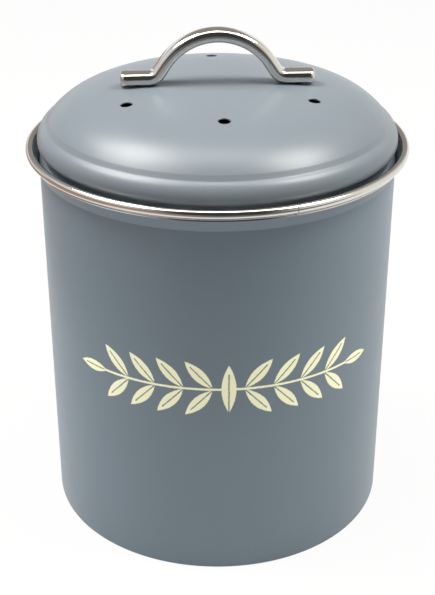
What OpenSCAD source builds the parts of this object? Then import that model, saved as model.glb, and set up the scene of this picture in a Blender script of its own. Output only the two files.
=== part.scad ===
// Round steel compost caddy with a vented, lift-off domed lid.
// Rolled bin with a seamed base and a polished rim, pressed lid with a bow
// handle, and a charcoal filter held under the lid in a twist-out tray.
// Millimetres. The origin is the middle of the underside, +Z up, front at -Y.

/* [Bin] */
// Outside diameter of the straight bin wall
body_d = 180; // [165:1:220]
// Height of the bin from the table to the top of its polished rim
bin_h = 203; // [140:1:280]
// Gauge of the bin's sheet steel
wall_t = 0.7; // [0.5:0.05:0.9]
// Width of the lapped side seam at the back
lap_w = 6; // [4:0.5:10]

/* [Rim] */
// Outside diameter of the rolled rim with its polished trim
rim_roll_d = 4.2; // [3.8:0.1:5.2]
// How far the middle of the rim roll stands out from the bin wall
flare_w = 4.3; // [4.1:0.1:6]
// Height of the flared mouth below the middle of the rim roll
flare_h = 10; // [9:0.5:14]
// Radius of the bend between the wall and the flare
flare_bend = 3; // [1:0.5:5]
// Gauge of the polished trim strip
trim_t = 0.4; // [0.3:0.05:0.5]
// Radius of the small lip rolled along the trim's lower edge
lip_r = 0.8; // [0.7:0.05:1]
// Width of the butt joint where the trim's two ends meet
trim_joint = 0.35; // [0.2:0.05:0.8]
// Angle of that butt joint, to the right of the front
trim_joint_at = 18.5; // [-170:0.5:170]

/* [Base] */
// Height of the base above the table
base_recess = 3; // [2:0.5:4]
// Gauge of the base
base_t = 0.7; // [0.5:0.05:0.8]
// Height of the folded hem that hooks the wall and the base together
hem_h = 5; // [4.5:0.5:8]
// Width of the hem ring that the bin stands on
hem_w = 3.45; // [3.3:0.05:4.5]
// Middle radius of the stiffening ring pressed into the base
base_ring_r = 62; // [30:1:72]
// Height of that ring
base_ring_h = 1.2; // [0.5:0.1:2]
// Width of that ring
base_ring_w = 8; // [5:0.5:12]

/* [Lid] */
// Gauge of the lid's sheet steel
lid_t = 0.7; // [0.5:0.05:0.9]
// How far the lid's widest line stands out from the bin wall
lid_over = 0.5; // [0:0.1:0.9]
// Height of the lid's widest line above the middle of the rim roll
lid_stand = 4.4; // [4:0.1:9]
// Radius of the rounded bead round the lid's edge
bead_r = 8.5; // [7.5:0.1:9.5]
// How far that bead runs on below its widest line
bead_past = 10; // [0:1:15]
// Radius at which the lid's edge turns under
tuck_r = 1.8; // [1.5:0.1:2.2]
// How far the crease between crown and bead lies inside the widest line
crease_at = 6.5; // [6:0.1:7.5]
// Width of that crease
crease_w = 0.5; // [0.3:0.1:1]
// Depth of that crease
crease_h = 1.9; // [1.5:0.1:3]
// Radius of the crease's two corners
crease_round = 0.8; // [0.5:0.1:0.9]
// Rise of the crown above the crease
crown_rise = 15.9; // [12:0.1:24]
// Share of that rise which is an even dome; the rest is in the shoulder
crown_dome = 0.25; // [0:0.05:1]
// Tightness of the shoulder: 3 is a bowl, 8 is a flat plate with a short shoulder
crown_power = 6.9; // [3:0.1:8]

/* [Lid neck] */
// Gauge of the neck
neck_t = 0.7; // [0.5:0.05:0.8]
// Room between the lid's neck and the bin wall
neck_room = 2; // [1.6:0.1:3]
// Depth of the neck below the middle of the rim roll
neck_depth = 13; // [12:0.5:20]
// Outside radius of the bead that lands in the flared mouth
seat_r = 1.6; // [1.3:0.1:2]
// Depth of that bead below the middle of the rim roll
seat_drop = 6.5; // [5.5:0.1:7]
// Radius of the curl along the neck's lower edge
neck_curl = 1; // [0.8:0.1:1.5]
// Radius of the bend between the neck and its flange
neck_bend = 1; // [0.7:0.1:1.2]

/* [Vents] */
// Number of vent holes
vent_n = 6; // [3:1:12]
// Diameter of a vent hole
vent_d = 6; // [4:0.5:7]
// Diameter of the circle that the vents lie on
vent_circle_d = 104; // [102:1:110]

/* [Handle] */
// Overall length of the bow handle
handle_len = 96; // [93:1:102]
// Height of the handle above the lid
handle_h = 27.8; // [27:0.1:36]
// Width of the handle's bar, front to back
bar_w = 10.5; // [9:0.5:13]
// Thickness of the handle's bar
bar_t = 6.6; // [6.4:0.1:7.2]
// Radius of the bar's four long edges
bar_edge_r = 2.2; // [1.5:0.1:3]
// Radius of the bow
bow_r = 31; // [28:0.5:33]
// Radius of the bend between a leg and its foot
bend_r = 6.5; // [5.5:0.5:8]
// Slope of the legs
leg_angle = 56; // [53:1:59]
// Radius of the feet's corners, seen from above
foot_corner_r = 2.5; // [1:0.1:4]

/* [Fasteners] */
// Distance between the two handle screws
screw_pitch = 83; // [81:0.5:85]
// Diameter of the screw thread
screw_d = 4; // [3.5:0.1:4.2]
// Length of the screw under its head
screw_len = 10; // [9.5:0.1:10.4]
// Diameter of the screw head
screw_head_d = 7.6; // [7:0.1:8]
// Height of the screw head
screw_head_h = 2.4; // [2:0.1:3]
// Diameter of the washer
washer_d = 9; // [8.6:0.1:9.4]
// Thickness of the washer
washer_t = 0.8; // [0.5:0.1:1]

/* [Filter] */
// Diameter of the charcoal filter pad
filter_d = 120; // [118:1:124]
// Thickness of the charcoal filter pad
filter_t = 9; // [6:0.5:10]
// Wall of the moulded housing and tray
mould_t = 2; // [1.6:0.1:2.4]
// Thickness of the web over the filter and of the tray's floor
web_t = 1.8; // [1.4:0.1:2.2]
// Height of the web's underside above the middle of the rim roll
web_stand = 17; // [15:0.5:18]
// Width of the spokes in the web and in the grille
spoke_w = 5; // [3:0.5:7]
// Outside diameter of the two screw bosses
boss_d = 12.8; // [12.2:0.1:14]
// Thickness of the boss under a screw washer
boss_floor = 2.6; // [2.4:0.1:3.2]

/* [Bayonet tray] */
// Number of bayonet lugs
lug_n = 3; // [2:1:4]
// Width of a lug, as an angle
lug_a = 13; // [8:1:17]
// Height of a lug
lug_h = 2; // [1.5:0.1:3]
// Reach of a lug past the tray's wall
lug_reach = 2.5; // [1.8:0.1:3]
// Height of the lugs above the tray's underside
lug_up = 2.5; // [2:0.1:4]
// Turn that frees the tray
tray_turn = 22; // [21:1:30]
// Width of the grille's slots
slot_w = 4; // [2.5:0.5:5]
// Width of the bars between the slots
slot_bar = 5.5; // [3:0.5:7]
// Length of the finger bar that turns the tray
grip_l = 58; // [40:1:80]
// Thickness of the finger bar
grip_t = 5; // [3:0.5:8]
// Height of the finger bar
grip_h = 6.5; // [4:0.5:8]

/* [Clearances] */
// Gap between pieces that move on each other
run_gap = 0.3; // [0.2:0.05:0.4]
// Gap between pieces that are pressed or seamed together
seam_gap = 0.05; // [0.02:0.01:0.08]

/* [Hidden] */
$fn = 120;
eps = 0.01;
// How far a cut runs past what it cuts
past = 1;
// Furthest that a drawn arc may lie from its true circle
chord = 0.015;
front = -90;
back = 90;
sides = [-1, 1];
paint = [0.49, 0.53, 0.57];
polished = [0.80, 0.80, 0.78];
moulded = [0.16, 0.17, 0.18];
charcoal = [0.07, 0.07, 0.07];

// Bin wall and mouth, by the middle line of the sheet
wall_r = body_d / 2;
wall_in = wall_r - wall_t;
wall_mid = wall_r - wall_t / 2;
hem_mid = wall_r - hem_w + wall_t / 2;
hem_round = 0.8;
rim_z = bin_h - rim_roll_d / 2;
roll_c = [wall_r + flare_w, rim_z];
flare_start = [wall_mid, rim_z - flare_h];
flare_run = roll_c - flare_start;
curl_r = rim_roll_d / 2 - trim_t - seam_gap - wall_t / 2;
curl_end = -120;
// Lean of the flare from upright that lets it run into the curl at a tangent
lean = atan2(flare_run[0], flare_run[1]) - asin(curl_r / norm(flare_run));
function mouth_r(z) = wall_mid + (z - flare_start[1]) * tan(lean) - wall_t / 2 / cos(lean);

// Polished trim: a roll round the curl, then a lip that lies against the flare
trim_r = rim_roll_d / 2 - trim_t / 2;
trim_start = 117;
lip_turn = 225;
lip_arm = trim_r + lip_r;
lip_step = lip_r + trim_t / 2 + wall_t / 2 + 3 * seam_gap - curl_r;
lip_c = roll_c + lip_step * [cos(lean), -sin(lean)]
        - sqrt(lip_arm * lip_arm - lip_step * lip_step) * [sin(lean), cos(lean)];
lip_at = atan2(lip_c[1] - roll_c[1], lip_c[0] - roll_c[0]);

// Base, turned over the hem and hooked into it
base_z = base_recess + base_t / 2;
base_in = hem_mid - wall_t / 2 - seam_gap - base_t / 2;
base_top = hem_h + seam_gap + base_t / 2;
hook_in = hem_mid + wall_t / 2 + seam_gap + base_t / 2;
hook_out = wall_in - 2 * seam_gap - base_t / 2;
hook_r = (hook_out - hook_in) / 2;
hook_z = wall_t + 4 * seam_gap + base_t / 2 + hook_r;
hook_back = hem_h - 2 * wall_t;
fold_r = base_t / 2 + seam_gap;
floor_round = 1.2;
lap_a = lap_w / wall_r * 180 / PI;
lap_z = base_top + base_t / 2 + floor_round;

// Lid skin, by its outer surface
lid_r = wall_r + lid_over;
lid_z = rim_z + lid_stand;
bead_c = [lid_r - bead_r, lid_z];
tuck_c = bead_c + (bead_r - tuck_r) * [cos(bead_past), -sin(bead_past)];
lid_bottom = tuck_c[1] - tuck_r;
crease_in = lid_r - crease_at;
crease_out = crease_in + crease_w;
bead_start = acos((crease_out - bead_c[0]) / bead_r);
crease_top = bead_c[1] + bead_r * sin(bead_start) + crease_h;
apex_z = crease_top + crown_rise;
flat_r = 8;
crown_steps = 32;
function crown_z(r) = let (k = r / crease_in)
    apex_z - crown_rise * (crown_dome * k * k + (1 - crown_dome) * pow(k, crown_power));
function crown_slope(r) = let (k = r / crease_in)
    crown_rise / crease_in * (2 * crown_dome * k + (1 - crown_dome) * crown_power * pow(k, crown_power - 1));
function crown_under(r) = crown_z(r) - lid_t * sqrt(1 + pow(crown_slope(r), 2));

// Neck, by the middle line of the sheet
neck_mid = wall_in - neck_room - neck_t / 2;
neck_z = rim_z - neck_depth;
lid_edge_r = neck_mid + neck_bend + 2 * seam_gap;
flange_z = lid_bottom + lid_t + seam_gap + neck_t / 2;
seat_z = rim_z - seat_drop;
seat_mid_r = seat_r - neck_t / 2;
seat_c = [mouth_r(seat_z) - (seat_r + run_gap) / cos(lean), seat_z];
seat_wrap = 60;
neck_curl_end = -150;
seat_flank = (seat_c[0] + seat_mid_r * cos(seat_wrap) - neck_mid) / tan(seat_wrap);
seat_half = seat_mid_r * sin(seat_wrap) + seat_flank;

// Handle, by the middle line of the bar
leg_len = (handle_h - bar_t - (bow_r + bend_r) * (1 - cos(leg_angle))) / sin(leg_angle);
foot_x = (bow_r + bend_r) * sin(leg_angle) + leg_len * cos(leg_angle);
foot_len = handle_len / 2 - foot_x;
foot_z = crown_z(foot_x) + seam_gap;
bow_z = foot_z + handle_h - bar_t / 2 - bow_r;

// Fasteners and housing
screw_x = screw_pitch / 2;
boss_r = boss_d / 2;
boss_top = crown_under(screw_x + boss_r) - seam_gap;
washer_top = boss_top - boss_floor;
head_top = washer_top - washer_t;
screw_tip = 0.4;
tap_past = 0.5;
tap_top = head_top + screw_len + tap_past;
clear_r = screw_d / 2 + run_gap;
washer_gap = 0.2;
cross_w = 0.9;
cross_l = 4.2;
cross_depth = 1.4;
web_z = rim_z + web_stand;
tray_in = filter_d / 2 + run_gap;
tray_mid = tray_in + mould_t / 2;
tray_out = tray_in + mould_t;
lug_out = tray_out + lug_reach;
house_in = lug_out + run_gap;
house_mid = house_in + mould_t / 2;
house_out = house_in + mould_t;
house_top = crown_under(house_out) - run_gap;
tray_top = web_z - run_gap;
pad_z = tray_top - seam_gap - filter_t;
tray_z = pad_z - web_t;
house_z = tray_z - run_gap;
lug_z = tray_z + lug_up;
ledge_in = tray_out + run_gap;
ledge_top = lug_z - run_gap;
ledge_lead = 1.5;
stop_gap = 0.5;
stop_a = 2;
vent_r = vent_circle_d / 2;
window_n = 6;
hub_r = 12;
window_in = screw_x - boss_r - 1;
window_mid = screw_x + boss_r + 1;
window_out = filter_d / 2 - 1;
slot_first = 12;
slot_step = slot_w + slot_bar;
slot_rows = floor((tray_in - 2 - slot_w - slot_first) / slot_step) + 1;
pad_edge_r = 1.2;

// Points of an arc, from one angle to another
function arc(c, r, from, to) =
    let (n = max(4, ceil(abs(to - from) / (2 * acos(1 - chord / r)))))
    [for (i = [0:n]) let (a = from + (to - from) * i / n) c + r * [cos(a), sin(a)]];
// Points that round a corner of a path with an arc that runs into both its sides
function corner(before, at, after, r) =
    let (a = unit(before - at), b = unit(after - at), half = acos(a * b) / 2)
    let (c = at + unit(a + b) * r / sin(half), first = at + a * r / tan(half) - c)
    let (from = atan2(first[1], first[0]), sweep = 180 - 2 * half)
    arc(c, r, from, from + (cross(a, b) > 0 ? -sweep : sweep));
function after_first(p) = [for (i = [1:len(p) - 1]) p[i]];
function backwards(p) = [for (i = [len(p) - 1:-1:0]) p[i]];
function unit(v) = v / norm(v);
function left_of(a, b) = let (u = unit(b - a)) [-u[1], u[0]];
function mitre(p, i) =
    let (last = len(p) - 1)
    let (before = left_of(p[max(i, 1) - 1], p[max(i, 1)]))
    let (after = left_of(p[min(i, last - 1)], p[min(i, last - 1) + 1]))
    (before + after) / (1 + before * after);
// The same path, moved d to its left
function beside(p, d) = [for (i = [0:len(p) - 1]) p[i] + d * mitre(p, i)];

// Section of a sheet of gauge t that follows a middle line
module sheet(path, t) {
    polygon(concat(beside(path, t / 2), backwards(beside(path, -t / 2))));
}

// A stretch of a flat ring, between two angles
module sector(r_in, r_out, from, to, z, h) {
    translate([0, 0, z])
        rotate([0, 0, from])
            rotate_extrude(angle = to - from)
                translate([r_in, 0])
                    square([r_out - r_in, h]);
}

module ring(r_in, r_out, z, h) {
    translate([0, 0, z])
        rotate_extrude()
            translate([r_in, 0])
                square([r_out - r_in, h]);
}

// Bin wall: folded hem, straight wall, flared mouth and outward curl
curl_path = arc(roll_c, curl_r, 180 - lean, curl_end);
wall_path = concat(
    [[hem_mid, hem_h]],
    arc([hem_mid + hem_round, wall_t / 2 + hem_round], hem_round, 180, 270),
    arc([wall_mid - hem_round, wall_t / 2 + hem_round], hem_round, 270, 360),
    corner([wall_mid, hem_h], flare_start, curl_path[0], flare_bend),
    curl_path);

module body_shell() {
    color(paint) {
        rotate_extrude()
            sheet(wall_path, wall_t);
        sector(wall_in - wall_t, wall_mid, back - lap_a / 2, back + lap_a / 2,
               lap_z, flare_start[1] - wall_t - lap_z);
    }
}

// Base: floor with a stiffening ring, wall, fold over the hem, hook inside it
base_path = concat(
    [[0, base_z]],
    [for (a = [-180:22.5:180])
        [base_ring_r + base_ring_w / 2 * a / 180, base_z + base_ring_h * (1 + cos(a)) / 2]],
    arc([base_in - floor_round, base_z + floor_round], floor_round, 270, 360),
    arc([base_in + fold_r, base_top - fold_r], fold_r, 180, 90),
    arc([hook_in - fold_r, base_top - fold_r], fold_r, 90, 0),
    arc([hook_in + hook_r, hook_z], hook_r, 180, 360),
    [[hook_out, hook_back]]);

module base_pan() {
    color(paint)
        rotate_extrude()
            sheet(base_path, base_t);
}

trim_path = concat(
    arc(roll_c, trim_r, trim_start, lip_at),
    after_first(arc(lip_c, lip_r, lip_at + 180, lip_at + 180 + lip_turn)));

module rim_ring() {
    joint_a = trim_joint / roll_c[0] * 180 / PI;
    color(polished)
        rotate([0, 0, front + trim_joint_at + joint_a / 2])
            rotate_extrude(angle = 360 - joint_a)
                sheet(trim_path, trim_t);
}

// Lid: shallow domed crown, shoulder, crease, rounded bead and turned-under edge
crown_path = concat(
    [[0, crown_z(flat_r)]],
    [for (i = [0:crown_steps - 1]) let (r = flat_r + (crease_in - flat_r) * i / crown_steps) [r, crown_z(r)]]);
bead_path = arc(bead_c, bead_r, bead_start, -bead_past);
lid_skin = concat(
    crown_path,
    corner(crown_path[crown_steps], [crease_in, crease_top], bead_path[0], crease_round),
    corner([crease_in, crease_top], bead_path[0], bead_path[1], crease_round),
    after_first(bead_path),
    after_first(arc(tuck_c, tuck_r, -bead_past, -90)),
    [[lid_edge_r, lid_bottom]]);

module lid_dome() {
    color(paint)
        difference() {
            rotate_extrude()
                polygon(concat(lid_skin, backwards(beside(lid_skin, -lid_t))));
            for (i = [0:vent_n - 1])
                rotate([0, 0, front + 360 * i / vent_n])
                    translate([vent_r, 0, crown_under(vent_r) - 2 * past])
                        cylinder(d = vent_d, h = lid_t + 4 * past);
            for (side = sides)
                translate([side * screw_x, 0, crown_under(screw_x) - 2 * past])
                    cylinder(r = clear_r, h = lid_t + 4 * past);
        }
}

// Neck: flange closed into the lid's edge, seating bead, plug and inward curl
neck_path = concat(
    [[tuck_c[0], flange_z]],
    corner([tuck_c[0], flange_z], [neck_mid, flange_z], [neck_mid, neck_z], neck_bend),
    [[neck_mid, seat_z + seat_half]],
    arc(seat_c, seat_mid_r, seat_wrap, -seat_wrap),
    [[neck_mid, seat_z - seat_half]],
    arc([neck_mid - neck_curl, neck_z + neck_curl], neck_curl, 0, neck_curl_end));

module lid_neck() {
    color(paint)
        rotate_extrude()
            sheet(neck_path, neck_t);
}

// Section of the handle's bar: bar_t along X, bar_w along Y
bar_points = let (x = bar_t / 2 - bar_edge_r, y = bar_w / 2 - bar_edge_r)
    concat(arc([x, y], bar_edge_r, 0, 90), arc([-x, y], bar_edge_r, 90, 180),
           arc([-x, -y], bar_edge_r, 180, 270), arc([x, -y], bar_edge_r, 270, 360));

// A straight stretch of bar along +X, with its width along Z
module straight_bar(length) {
    translate([-eps, 0, 0])
        rotate([90, 0, 90])
            linear_extrude(length + 2 * eps)
                polygon(bar_points);
}

// A bend of the bar about the origin, from one angle to another
module bent_bar(r, from, to) {
    rotate([0, 0, from])
        rotate_extrude(angle = to - from)
            translate([r, 0])
                polygon(bar_points);
}

// A foot along +X, with two rounded corners at its end
module foot_bar() {
    corner_x = foot_len - foot_corner_r;
    corner_y = bar_w / 2 - foot_corner_r;
    intersection() {
        straight_bar(foot_len);
        translate([0, bar_t, 0])
            rotate([90, 0, 0])
                linear_extrude(2 * bar_t) {
                    translate([-past, -bar_w])
                        square([corner_x + past, 2 * bar_w]);
                    translate([-past, -corner_y])
                        square([foot_len + past, 2 * corner_y]);
                    for (side = sides)
                        translate([corner_x, side * corner_y])
                            circle(foot_corner_r + seam_gap);
                }
    }
}

// Leg, bend and foot, about the middle of the bow, lying in XY
module handle_leg() {
    foot_y = foot_z + bar_t / 2 - bow_z;
    translate(bow_r * [sin(leg_angle), cos(leg_angle), 0])
        rotate([0, 0, -leg_angle])
            straight_bar(leg_len);
    translate([foot_x, foot_y + bend_r, 0])
        bent_bar(bend_r, 270 - leg_angle, 270);
    translate([foot_x, foot_y, 0])
        foot_bar();
}

module handle() {
    color(polished)
        difference() {
            union() {
                translate([0, 0, bow_z])
                    rotate([90, 0, 0])
                        bent_bar(bow_r, 90 - leg_angle, 90 + leg_angle);
                for (turn = [0, 180])
                    rotate([0, 0, turn])
                        translate([0, 0, bow_z])
                            rotate([90, 0, 0])
                                handle_leg();
            }
            for (side = sides)
                translate([side * screw_x, 0, foot_z - past])
                    cylinder(r = screw_d / 2 + seam_gap, h = tap_top - foot_z + past);
        }
}

// Cross-headed screw that comes up from under the lid
module screw() {
    head_r = screw_head_d / 2;
    edge_r = screw_head_h / 2;
    difference() {
        rotate_extrude()
            polygon(concat(
                [[0, head_top + screw_len], [screw_d / 2 - screw_tip, head_top + screw_len]],
                [[screw_d / 2, head_top + screw_len - screw_tip], [screw_d / 2, head_top]],
                [[head_r, head_top]],
                arc([head_r - edge_r, head_top - screw_head_h + edge_r], edge_r, 0, -90),
                [[0, head_top - screw_head_h]]));
        for (turn = [0, 90])
            translate([0, 0, head_top - screw_head_h])
                rotate([0, 0, turn])
                    cube([cross_l, cross_w, 2 * cross_depth], center = true);
    }
}

module handle_screws() {
    color(polished)
        for (side = sides)
            translate([side * screw_x, 0, 0])
                screw();
}

module handle_washers() {
    color(polished)
        for (side = sides)
            translate([side * screw_x, 0, 0])
                ring(screw_d / 2 + washer_gap, washer_d / 2, head_top, washer_t);
}

// Openings between n spokes, which are spoke_w wide at the outer radius
module windows(r_in, r_out, n, first, z, h) {
    spoke_a = spoke_w / r_out * 180 / PI;
    for (i = [0:n - 1])
        sector(r_in, r_out, first + 360 * (i - 0.5) / n + spoke_a / 2,
               first + 360 * (i + 0.5) / n - spoke_a / 2, z, h);
}

// Angle of a bayonet lug with the tray locked
function lug_at(i) = back + 360 * i / lug_n;

// Housing: wall up to the crown, open web over the filter, two screw bosses,
// and the ledges and stops that the tray's lugs turn over
module filter_housing() {
    color(moulded)
        difference() {
            union() {
                ring(house_in, house_out, house_z, house_top - house_z);
                ring(0, house_mid, web_z, web_t);
                for (side = sides)
                    translate([side * screw_x, 0, web_z])
                        cylinder(r = boss_r, h = boss_top - web_z);
                for (i = [0:lug_n - 1])
                    bayonet_track(lug_at(i));
            }
            windows(window_mid, window_out, window_n, front, web_z - past, web_t + 2 * past);
            windows(hub_r, window_in, window_n, front, web_z - past, web_t + 2 * past);
            for (side = sides)
                translate([side * screw_x, 0, 0]) {
                    translate([0, 0, web_z - past])
                        cylinder(r = washer_d / 2 + run_gap, h = washer_top - web_z + past);
                    translate([0, 0, web_z])
                        cylinder(r = clear_r, h = boss_top - web_z + past);
                }
        }
}

// A ledge that ends in a stop, and the stop at the other end of the lug's travel
module bayonet_track(at) {
    lug_end = lug_a / 2 + stop_gap;
    lug_top = lug_z + lug_h;
    difference() {
        sector(ledge_in, house_mid, at - lug_a / 2 - ledge_lead, at + lug_end + stop_a,
               house_z, lug_top - house_z);
        sector(ledge_in - past, house_out, at - lug_a / 2 - 2 * ledge_lead, at + lug_end,
               ledge_top, lug_h + past);
    }
    sector(ledge_in, house_mid, at - tray_turn - lug_end - stop_a, at - tray_turn - lug_end,
           house_z, lug_top - house_z);
}

module charcoal_filter() {
    r = filter_d / 2 - pad_edge_r;
    color(charcoal)
        rotate_extrude()
            polygon(concat(
                [[0, pad_z]],
                arc([r, pad_z + pad_edge_r], pad_edge_r, -90, 0),
                arc([r, pad_z + filter_t - pad_edge_r], pad_edge_r, 0, 90),
                [[0, pad_z + filter_t]]));
}

// Tray: slotted floor, wall, lugs, and a finger bar underneath
module filter_tray() {
    color(moulded) {
        difference() {
            ring(0, tray_out, tray_z, web_t);
            for (row = [0:slot_rows - 1])
                windows(slot_first + row * slot_step, slot_first + row * slot_step + slot_w,
                        window_n, front, tray_z - past, web_t + 2 * past);
        }
        ring(tray_in, tray_out, tray_z, tray_top - tray_z);
        for (i = [0:lug_n - 1])
            sector(tray_mid, lug_out, lug_at(i) - lug_a / 2, lug_at(i) + lug_a / 2, lug_z, lug_h);
        translate([0, 0, tray_z - grip_h])
            linear_extrude(grip_h + web_t / 2) {
                square([grip_l - grip_t, grip_t], center = true);
                for (side = sides)
                    translate([side * (grip_l - grip_t) / 2, 0])
                        circle(d = grip_t);
            }
    }
}

body_shell();
base_pan();
rim_ring();
lid_dome();
lid_neck();
handle();
handle_screws();
handle_washers();
filter_housing();
charcoal_filter();
filter_tray();
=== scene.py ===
import math

import bmesh
import bpy
import numpy as np
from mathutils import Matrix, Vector


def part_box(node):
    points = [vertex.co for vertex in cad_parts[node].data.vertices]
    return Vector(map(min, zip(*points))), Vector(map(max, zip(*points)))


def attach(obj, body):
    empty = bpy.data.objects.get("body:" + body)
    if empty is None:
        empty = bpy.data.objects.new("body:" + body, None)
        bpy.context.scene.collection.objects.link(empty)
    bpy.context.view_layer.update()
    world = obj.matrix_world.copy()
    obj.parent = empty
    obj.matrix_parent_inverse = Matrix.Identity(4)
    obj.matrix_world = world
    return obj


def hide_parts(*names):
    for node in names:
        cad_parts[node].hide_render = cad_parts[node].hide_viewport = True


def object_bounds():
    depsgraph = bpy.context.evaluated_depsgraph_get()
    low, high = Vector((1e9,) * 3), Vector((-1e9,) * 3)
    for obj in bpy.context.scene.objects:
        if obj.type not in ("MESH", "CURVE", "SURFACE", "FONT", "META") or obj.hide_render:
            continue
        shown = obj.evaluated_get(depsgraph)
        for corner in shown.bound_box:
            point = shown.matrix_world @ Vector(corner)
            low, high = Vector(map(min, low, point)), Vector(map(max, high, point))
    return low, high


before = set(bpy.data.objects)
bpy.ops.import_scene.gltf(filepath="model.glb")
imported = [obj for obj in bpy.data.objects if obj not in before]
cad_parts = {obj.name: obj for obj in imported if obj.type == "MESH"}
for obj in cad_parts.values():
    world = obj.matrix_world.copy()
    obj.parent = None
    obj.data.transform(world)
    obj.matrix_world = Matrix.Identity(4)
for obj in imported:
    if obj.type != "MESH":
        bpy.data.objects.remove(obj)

bl_info = {
    "name": "Compost caddy",
    "version": (1, 0, 0),
    "blender": (4, 5, 0),
    "location": "3D View > Sidebar > Caddy",
    "description": "Steel compost caddy with a vented domed lid, dressed over its frame",
    "category": "Object",
}

MM = 0.001
CAD_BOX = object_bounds()
TRIM_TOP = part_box("rim_ring")[1][2]
LID_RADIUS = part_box("lid_dome")[1][0]
BOW_LOW, BOW_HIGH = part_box("handle")
PAD_LOW, PAD_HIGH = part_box("charcoal_filter")

# Sizes that several pieces share
ROLL_RADIUS = 2.1 * MM
SEAM_GAP = 0.05 * MM

# Angles round the axis, in degrees
FRONT, BACK = -90, 90

# How finely the surfaces are divided. A vent's patch is a ring sector of PATCH_ROWS rows: VENT_PATCH to each side
# of the circle of vents, and PATCH_HALF degrees to each side of the vent
TURNS = 360
INNER_ROWS = 22
CROWN_ROWS = 30
PATCH_ROWS = 13
PATCH_HALF = 7
VENT_PATCH = 6 * MM


def length(name, description, default):
    """A size in metres for the sidebar."""
    return bpy.props.FloatProperty(
        name=name, description=description, default=default, min=0.0, max=1.0, precision=5, unit="LENGTH"
    )


def bearing(name, description, degrees):
    """An angle for the sidebar, given here in degrees."""
    return bpy.props.FloatProperty(
        name=name, description=description, default=math.radians(degrees), subtype="ANGLE"
    )


def colour(name, description, default):
    """A colour for the sidebar."""
    return bpy.props.FloatVectorProperty(
        name=name, description=description, default=default, size=3, min=0.0, max=1.0, subtype="COLOR"
    )


def share(name, description, default):
    """A number from 0 to 1 for the sidebar."""
    return bpy.props.FloatProperty(
        name=name, description=description, default=default, min=0.0, max=1.0, subtype="FACTOR"
    )


def watts(name, default):
    """A lamp's power for the sidebar."""
    return bpy.props.FloatProperty(name=name, description="Power in watts", default=default, unit="POWER")


class BinSizes(bpy.types.PropertyGroup):
    """Sizes of the bin, its rim and its base."""

    wall_radius: length("Wall radius", "Outside radius of the straight wall", 90 * MM)
    gauge: length("Gauge", "Thickness of the sheet steel", 0.7 * MM)
    rim_height: length("Rim height", "Height of the middle of the rim roll", TRIM_TOP - ROLL_RADIUS)
    flare_out: length("Flare", "How far the rim roll's middle stands out", 4.3 * MM)
    flare_height: length("Flare height", "Height of the flared mouth", 10 * MM)
    flare_bend: length("Flare bend", "Radius between the wall and the flare", 3 * MM)
    roll_radius: length("Rim roll", "Outside radius of the rim roll", ROLL_RADIUS)
    trim_gauge: length("Trim gauge", "Thickness of the polished trim", 0.4 * MM)
    lip_radius: length("Lip", "Radius of the lip along the trim's lower edge", 0.8 * MM)
    lip_gap: length("Lip gap", "Gap between the lip and the flare", 0.15 * MM)
    trim_inside: length("Trim inside", "How far the trim reaches down inside the mouth", 0.4 * MM)
    joint_width: length("Trim joint", "Width of the trim's butt joint", 0.35 * MM)
    joint_at: bearing("Joint angle", "Place of the trim's butt joint, to the right of the front", 18.5)
    hem_height: length("Hem height", "Height of the folded hem", 5 * MM)
    hem_width: length("Hem width", "Width of the hem ring", 3.45 * MM)
    hem_bend: length("Hem bend", "Radius of the hem's two bends", 0.8 * MM)
    base_gauge: length("Base gauge", "Thickness of the base's sheet", 0.7 * MM)
    base_recess: length("Base recess", "Height of the base above the table", 3 * MM)
    base_corner: length("Base corner", "Radius between the base and its upturned edge", 1.2 * MM)
    base_bead_at: length("Base bead", "Radius of the base's stiffening bead", 62 * MM)
    base_bead_width: length("Base bead width", "Width of the stiffening bead", 8 * MM)
    base_bead_height: length("Base bead height", "Height of the stiffening bead", 1.2 * MM)
    lap_width: length("Lap", "Width of the lapped seam at the back", 6 * MM)
    lap_foot: length("Lap foot", "Height at which the lap starts, above the base's fold", 6.95 * MM)


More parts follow.
